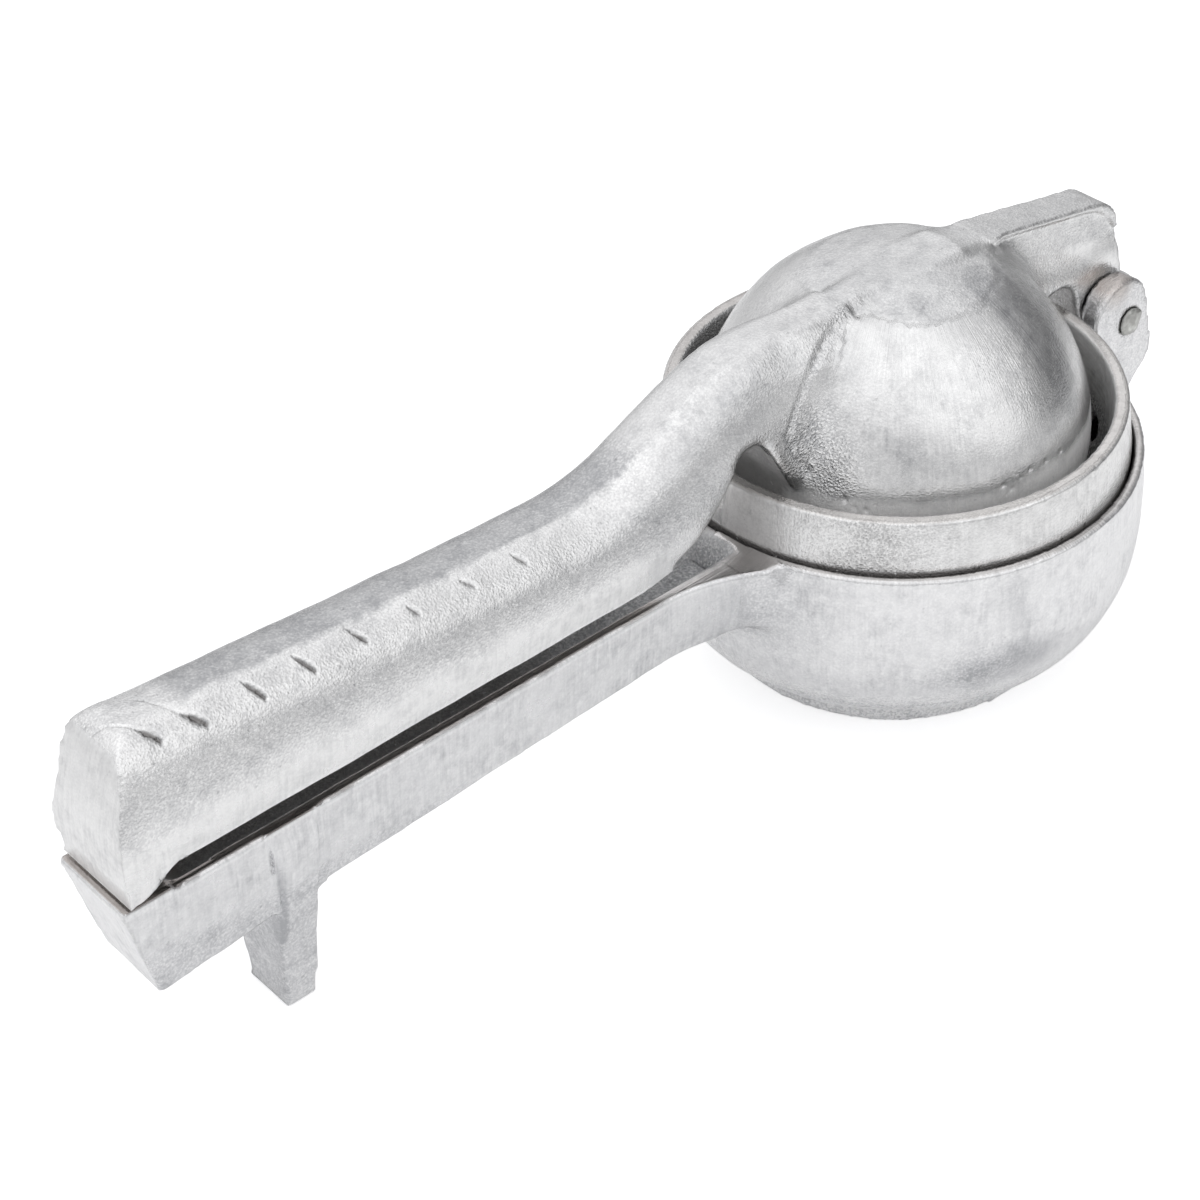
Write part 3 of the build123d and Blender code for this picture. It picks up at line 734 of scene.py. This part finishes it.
def hinge_pin(material):
    """Pin spread over at both ends: circles along Y that turn into rounded squares under the hammer, with
    domed ends. Each ring is |cos|^p + |sin|^p = 1, and the spread ones are a little three-cornered."""
    side, size, power = np.array(PIN_RINGS).T[:, :, None]
    turn = np.linspace(0, 2 * np.pi, 48, endpoint=False)[None]
    reach = (abs(np.cos(turn + 0.3)) ** power + abs(np.sin(turn + 0.3)) ** power) ** (-1 / power)
    reach = np.minimum(reach, PIN_REACH / np.maximum(size, 0.1))
    reach = reach * (1 + 0.03 * np.sin(3 * turn + 1)) ** (power > 3)
    x = HINGE_X + size * reach * np.cos(turn)
    z = HINGE_Z + size * reach * np.sin(turn)
    points = np.stack((x, np.broadcast_to(side, x.shape), z), 2).reshape(-1, 3)
    here = np.arange(x.size).reshape(x.shape)
    beside = np.roll(here, -1, axis=1)
    faces = np.stack((here[:-1], here[1:], beside[1:], beside[:-1]), 2).reshape(-1, 4)
    mesh = bpy.data.meshes.new("hinge_pin_peened")
    mesh.from_pydata((points * MM).tolist(), [], faces.tolist())
    work = bmesh.new()
    work.from_mesh(mesh)
    bmesh.ops.remove_doubles(work, verts=work.verts, dist=1e-6)
    bmesh.ops.recalc_face_normals(work, faces=work.faces)
    work.to_mesh(mesh)
    work.free()
    mesh.shade_smooth()
    mesh.materials.append(material)
    pin = new_object("hinge_pin_peened", mesh)
    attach(pin, "base")
    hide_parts("hinge_pin")


# ---------------------------------------------------------------- materials
class Nodes:
    """Adds nodes to a tree: each call makes one, sets its options and fills its inputs with values or
    links."""

    def __init__(self, tree):
        self.tree = tree

    def __call__(self, kind, inputs=None, **options):
        """A new shader node of the kind."""
        node = self.tree.nodes.new("ShaderNode" + kind)
        for option, value in options.items():
            setattr(node, option, value)
        self.fill(node, inputs or {})
        return node

    def math(self, operation, *values, clamp=False):
        """One sum of values or sockets."""
        return self("Math", dict(enumerate(values)), operation=operation, use_clamp=clamp).outputs[0]

    def mix(self, share, first, second):
        """From the first colour to the second by a share."""
        return self("Mix", {0: share, 6: first, 7: second}, data_type="RGBA").outputs[2]

    def between(self, value, low, high, to_low=0.0, to_high=1.0):
        """The value's place between low and high, as a value between two others."""
        return self("MapRange", {0: value, 1: low, 2: high, 3: to_low, 4: to_high}).outputs[0]

    def noise(self, vector, scale, detail=2.0, roughness=0.5):
        """Cloudy noise from 0 to 1."""
        given = {"Vector": vector, "Scale": scale, "Detail": detail, "Roughness": roughness}
        return self("TexNoise", given).outputs["Fac"]

    def group(self, tree, **inputs):
        """A shared node group with its named inputs filled."""
        node = self("Group", node_tree=tree)
        self.fill(node, inputs)
        return node.outputs

    def fill(self, node, inputs):
        """Inputs get values, or links where they are sockets."""
        for key, value in inputs.items():
            if isinstance(value, bpy.types.NodeSocket):
                self.tree.links.new(value, node.inputs[key])
            else:
                node.inputs[key].default_value = value

    def give(self, node, **values):
        """Links sockets to a node's inputs. An underscore in a name stands for a space."""
        for key, value in values.items():
            self.tree.links.new(value, node.inputs[key.replace("_", " ")])


def new_group(name, inputs, outputs):
    """Empty shader node group with named sockets, its Nodes, and its input and output nodes."""
    tree = bpy.data.node_groups.new(name, "ShaderNodeTree")
    for label, kind in inputs.items():
        tree.interface.new_socket(name=label, in_out="INPUT", socket_type="NodeSocket" + kind)
    for label, kind in outputs.items():
        tree.interface.new_socket(name=label, in_out="OUTPUT", socket_type="NodeSocket" + kind)
    return Nodes(tree), tree.nodes.new("NodeGroupInput").outputs, tree.nodes.new("NodeGroupOutput")


def cast_skin_group():
    """Sand-cast skin from object coordinates in metres: grain height, dark pores, slow blotches and
    smudges."""
    outputs = {"Height": "Float", "Pores": "Float", "Blotch": "Float", "Smudge": "Float"}
    nodes, given, out = new_group("cast skin", {"Vector": "Vector", "Grain": "Float"}, outputs)
    vector, grain = given["Vector"], given["Grain"]
    fine = nodes.noise(vector, grain, 2.0, 0.6)
    cells = {"Vector": vector, "Scale": nodes.math("MULTIPLY", grain, 0.7), "Smoothness": 0.5}
    pebble = nodes("TexVoronoi", cells, feature="SMOOTH_F1").outputs["Distance"]
    height = nodes.math("ADD", nodes.math("MULTIPLY", fine, 0.8), nodes.math("MULTIPLY", pebble, -0.35))
    pores = nodes.between(nodes.noise(vector, nodes.math("MULTIPLY", grain, 0.3), 2.0), 0.69, 0.75)
    smudge = nodes.between(nodes.noise(vector, 480.0, 4.0, 0.65), 0.36, 0.7, -0.10, 0.24)
    nodes.give(out, Height=height, Pores=pores, Blotch=nodes.noise(vector, 130.0, 4.0, 0.6), Smudge=smudge)
    return nodes.tree


def file_strokes_group():
    """Strokes of a file or belt: noise drawn out along the stroke, from how far across and along it a point
    is, in mm."""
    nodes, given, out = new_group("file strokes", {"Across": "Float", "Along": "Float", "Pitch": "Float"},
                                  {"Height": "Float", "Shade": "Float"})
    across = nodes.math("DIVIDE", given["Across"], given["Pitch"])
    along = nodes.math("MULTIPLY", given["Along"], 0.16)
    narrow = nodes("CombineXYZ", {0: across, 1: along}).outputs[0]
    broad = nodes("CombineXYZ", {0: nodes.math("MULTIPLY", across, 0.5),
                                 1: nodes.math("MULTIPLY", along, 0.8)}).outputs[0]
    nodes.give(out, Height=nodes.noise(narrow, 1.0, 2.0), Shade=nodes.noise(broad, 1.0, 3.0))
    return nodes.tree


# warm brown: oxide on rims, ears and the ball's low band, and painted shade and reflection on the lug and the
# cup's band
WARM_OXIDE_AND_SHADE = (0.52, 0.45, 0.40, 1)
PORE_GREY = (0.22, 0.22, 0.23, 1)
# dark grey painted as shade in hollows, gaps and cuts
PAINTED_SHADE_COLOUR = (0.20, 0.19, 0.185, 1)
STROKE_PITCH = 0.30                     # mm between file strokes
POINT_VALUES = ("across", "along", "ground", "grit", "grey", "warm", "soot", "matt")


def cast_aluminium(name, skin_tree, strokes_tree, grain, bright, dull):
    """Cast aluminium: bright metal dulled by its skin, with ground, gritty and warm places, and a dark grey
    painted as shade in hollows, gaps and cuts.
    """
    material = bpy.data.materials.new(name)
    material.use_nodes = True
    nodes = Nodes(material.node_tree)
    shader = material.node_tree.nodes["Principled BSDF"]
    coords = nodes("TexCoord").outputs["Object"]
    value = {key: nodes("Attribute", attribute_name=key).outputs["Fac"] for key in POINT_VALUES}
    skin = nodes.group(skin_tree, Vector=coords, Grain=grain)
    strokes = nodes.group(strokes_tree, Across=value["across"], Along=value["along"], Pitch=STROKE_PITCH)
    height, blotch = skin["Height"], skin["Blotch"]
    unground = nodes.math("SUBTRACT", 1.0, nodes.math("MULTIPLY", value["ground"], 0.75), clamp=True)
    clustered = nodes.math("MULTIPLY", value["ground"], nodes.between(blotch, 0.38, 0.62, 0.5, 1.8))

    # share of the dull colour: speckles, strokes, clouds, smudges and the point's grey, which adds tone and
    # also painted shade and light
    grain_share = nodes.math("ADD", 0.17, nodes.math("MULTIPLY", value["grit"], 0.35))
    speckle = nodes.math("MULTIPLY", nodes.between(height, 0.42, 0.14, -1.0, 1.4), grain_share)
    lines = nodes.math("MULTIPLY", nodes.between(strokes["Shade"], 0.3, 0.7, -0.09, 0.12), clustered)
    cloudy = nodes.math("MULTIPLY", nodes.between(blotch, 0.3, 0.7, -0.08, 0.12), 0.6)
    patchy = nodes.math("MULTIPLY", skin["Smudge"], nodes.between(blotch, 0.4, 0.62, 0.35, 1.3))
    share = nodes.math("ADD", nodes.math("MULTIPLY", speckle, unground), lines)
    share = nodes.math("ADD", share, nodes.math("ADD", cloudy, patchy))
    share = nodes.math("ADD", nodes.math("ADD", share, value["grey"]), 0.10, clamp=True)

    colour = nodes.mix(share, (*bright, 1), (*dull, 1))
    colour = nodes.mix(nodes.math("MULTIPLY", value["warm"], 0.55), colour, WARM_OXIDE_AND_SHADE)
    in_pores = nodes.math("MULTIPLY", skin["Pores"], nodes.math("MULTIPLY", unground, 0.45))
    colour = nodes.mix(in_pores, colour, PORE_GREY)
    # painted shade: the last mix lays the dark grey where shade falls, and small specks are left out of it as
    # painted glints
    sparkle = nodes.between(nodes.noise(coords, 900.0, 1.0), 0.72, 0.76)
    sooty = nodes.math("MULTIPLY", value["soot"], nodes.math("SUBTRACT", 1.0, sparkle))
    colour = nodes.mix(sooty, colour, PAINTED_SHADE_COLOUR)
    metallic = nodes.between(value["matt"], 0.0, 1.0, 1.0, 0.3)

    rough = nodes.between(blotch, 0.25, 0.75, 0.15, 0.25)
    rough = nodes.math("ADD", rough, nodes.math("MULTIPLY", value["matt"], 0.35), clamp=True)
    relief_share = nodes.math("ADD", 0.12, nodes.math("MULTIPLY", value["grit"], 0.34))
    cast = nodes.math("MULTIPLY", nodes.math("MULTIPLY", height, unground), relief_share)
    filed = nodes.math("MULTIPLY", nodes.math("MULTIPLY", strokes["Height"], value["ground"]), 0.07)
    relief = nodes("Bump", {"Strength": 1.0, "Distance": 0.001, "Height": nodes.math("ADD", cast, filed)})
    normal = relief.outputs["Normal"]
    nodes.give(shader, Base_Color=colour, Metallic=metallic, Roughness=rough, Normal=normal)
    return material


def peened_steel(skin_tree):
    """Dull pin end with small hammer marks."""
    material = bpy.data.materials.new("peened pin")
    material.use_nodes = True
    nodes = Nodes(material.node_tree)
    shader = material.node_tree.nodes["Principled BSDF"]
    skin = nodes.group(skin_tree, Vector=nodes("TexCoord").outputs["Object"], Grain=900)
    marks = nodes.between(skin["Height"], 0.15, 0.45)
    colour = nodes.mix(marks, (0.42, 0.42, 0.40, 1), (0.68, 0.69, 0.66, 1))
    rough = nodes.between(skin["Blotch"], 0.3, 0.7, 0.36, 0.5)
    relief = nodes("Bump", {"Strength": 0.8, "Distance": 0.0003, "Height": skin["Height"]})
    shader.inputs["Metallic"].default_value = 1
    nodes.give(shader, Base_Color=colour, Roughness=rough, Normal=relief.outputs["Normal"])
    return material


# ---------------------------------------------------------------- stage
FLOOR_HALF = 1.2                        # half of the floor's side, in metres
FLOOR_PALE = (0.86, 0.86, 0.86, 1)
TABLE_LEFT, TABLE_RIGHT = (0.72, 0.72, 0.72, 1), (0.50, 0.50, 0.50, 1)
FLOOR_LIFT = 0.50                       # light added to the floor for the camera
SHEET_LIFT = 0.36                       # share of it that reflections see on the white sheet
DOORWAY = (0.95, -0.17, 0.26)           # ways in the room, as unit vectors
LEFT_WALL = (-0.90, -0.43, 0.0)
MIDDLE = (-0.05, 0, 0.04)               # middle of the squeezer, in metres
CAMERA_PLACE = (-294.378, -266.351, 316.252)                                # mm
CAMERA_AZIMUTH, CAMERA_ELEVATION, CAMERA_ROLL = -41.022, 37.322, -1.617     # degrees
LENS, SENSOR = 82.943, 36                                                   # mm
LENS_SHIFT = (-0.02016, -0.04357)


def facing(right, up, back, origin):
    """Matrix of an object at an origin in metres that looks away from back."""
    turn = np.eye(4)
    turn[:3, :3] = np.stack((right, up, back), 1)
    turn[:3, 3] = origin
    return Matrix(turn.tolist())


def pale_floor():
    """Matt pale floor that keeps its shadow. To the camera it is lifted to near white, and in reflections it
    is a white sheet under the object on a greyer table."""
    half = FLOOR_HALF
    corners = [(-half, -half, 0), (half, -half, 0), (half, half, 0), (-half, half, 0)]
    mesh = bpy.data.meshes.new("floor")
    mesh.from_pydata(corners, [], [(0, 1, 2, 3)])
    plane = new_object("floor", mesh)
    material = bpy.data.materials.new("pale floor")
    material.use_nodes = True
    nodes = Nodes(material.node_tree)
    shader = material.node_tree.nodes["Principled BSDF"]
    shader.inputs["Roughness"].default_value = 0.9
    shader.inputs["Specular IOR Level"].default_value = 0.1
    shader.inputs["Emission Color"].default_value = (1, 1, 1, 1)
    path = nodes("LightPath").outputs
    seen = nodes.math("MAXIMUM", path["Is Camera Ray"], path["Is Transmission Ray"])
    x, y, _ = nodes("SeparateXYZ", {0: nodes("TexCoord").outputs["Object"]}).outputs
    # the sheet is an ellipse, longer along the handles
    along = nodes.math("MULTIPLY", nodes.math("ADD", x, 0.10), 0.6)
    squares = nodes.math("ADD", nodes.math("MULTIPLY", along, along), nodes.math("MULTIPLY", y, y))
    away = nodes.math("SQRT", squares)
    sheet = nodes("MapRange", {0: away, 1: 0.26, 2: 0.10}, interpolation_type="SMOOTHSTEP").outputs[0]
    table = nodes.mix(nodes.between(x, 0.08, 0.25), TABLE_LEFT, TABLE_RIGHT)
    mirrored = nodes.mix(sheet, table, FLOOR_PALE)
    in_mirror = nodes.math("MULTIPLY", path["Is Glossy Ray"], nodes.math("MULTIPLY", sheet, SHEET_LIFT))
    lift = nodes.math("MULTIPLY", nodes.math("MAXIMUM", seen, in_mirror), FLOOR_LIFT)
    colour = nodes.mix(path["Is Glossy Ray"], FLOOR_PALE, mirrored)
    nodes.give(shader, Base_Color=colour, Emission_Strength=lift)
    mesh.materials.append(material)


def soft_room():
    """World: white to the camera. To the metal it is a pale room, a little dimmer at the level of the table
    and on the left, with one dark doorway on the right."""
    sky = bpy.data.worlds.new("soft room")
    bpy.context.scene.world = sky
    sky.use_nodes = True
    nodes = Nodes(sky.node_tree)
    room = sky.node_tree.nodes["Background"]
    direction = nodes("TexCoord").outputs["Generated"]
    z = nodes("SeparateXYZ", {0: direction}).outputs["Z"]

    def toward(way, wide, narrow, most):
        """0 where the direction is wide of a way, rising to its most near to it. Both are cosines."""
        apart = nodes("VectorMath", {0: direction, 1: way}, operation="DOT_PRODUCT").outputs["Value"]
        rising = {0: apart, 1: wide, 2: narrow, 3: 0.0, 4: most}
        return nodes("MapRange", rising, interpolation_type="SMOOTHSTEP").outputs[0]

    level = nodes.between(z, 0.0, 0.7, 0.66, 1.0)
    level = nodes.math("SUBTRACT", level, toward(DOORWAY, 0.66, 0.97, 0.50))
    level = nodes.math("SUBTRACT", level, toward(LEFT_WALL, 0.70, 0.98, 0.05))
    colour = nodes("CombineColor", {0: level, 1: level, 2: nodes.math("MULTIPLY", level, 1.015)}).outputs[0]
    nodes.give(room, Color=colour)
    white = nodes("Background", {"Color": (1, 1, 1, 1)})
    path = nodes("LightPath").outputs
    seen = nodes.math("MAXIMUM", path["Is Camera Ray"], path["Is Transmission Ray"])
    both = nodes("MixShader", {0: seen, 1: room.outputs[0], 2: white.outputs[0]})
    nodes.give(sky.node_tree.nodes["World Output"], Surface=both.outputs[0])


def lamp(name, origin, size, power):
    """Square soft lamp at an origin in metres that faces the middle of the squeezer."""
    light = bpy.data.lights.new(name, "AREA")
    light.shape = "SQUARE"
    light.size = size
    light.energy = power
    back = np.array(origin, float) - MIDDLE
    back /= np.linalg.norm(back)
    side = np.cross((0, 0, 1), back)
    side /= np.linalg.norm(side)
    new_object(name, light).matrix_world = facing(side, np.cross(back, side), back, origin)


def camera():
    """Long lens from the near left, 37 degrees above the floor."""
    azimuth, elevation, roll = np.radians((CAMERA_AZIMUTH, CAMERA_ELEVATION, CAMERA_ROLL))
    ahead = np.array((-math.sin(azimuth) * math.cos(elevation), math.cos(azimuth) * math.cos(elevation),
                      -math.sin(elevation)))
    level = np.cross(ahead, (0, 0, 1))
    level /= np.linalg.norm(level)
    above = np.cross(level, ahead)
    right = level * math.cos(roll) + above * math.sin(roll)
    up = above * math.cos(roll) - level * math.sin(roll)
    lens = bpy.data.cameras.new("camera")
    lens.lens = LENS
    lens.sensor_width = SENSOR
    lens.sensor_fit = "HORIZONTAL"
    lens.shift_x, lens.shift_y = LENS_SHIFT
    holder = new_object("camera", lens)
    holder.matrix_world = facing(right, up, -ahead, np.array(CAMERA_PLACE) * MM)
    bpy.context.scene.camera = holder


skin_tree = cast_skin_group()
strokes_tree = file_strokes_group()
CASTINGS = ((press_arm, "press arm", 2900.0, (0.90, 0.90, 0.893), (0.42, 0.425, 0.435)),
            (lower_casting, "lower casting", 2700.0, (0.90, 0.90, 0.90), (0.42, 0.425, 0.44)),
            (strainer, "strainer cup", 2700.0, (0.90, 0.90, 0.893), (0.40, 0.40, 0.40)))
for build, name, grain, bright, dull in CASTINGS:
    build(cast_aluminium("cast aluminium, " + name, skin_tree, strokes_tree, grain, bright, dull))
hinge_pin(peened_steel(skin_tree))
pale_floor()
soft_room()
lamp("near soft lamp", (0.25, -0.85, 0.62), 0.9, 0.45)
lamp("high soft lamp", (-0.35, 0.1, 1.1), 0.9, 0.45)
camera()
bpy.context.scene.view_settings.view_transform = "Standard"
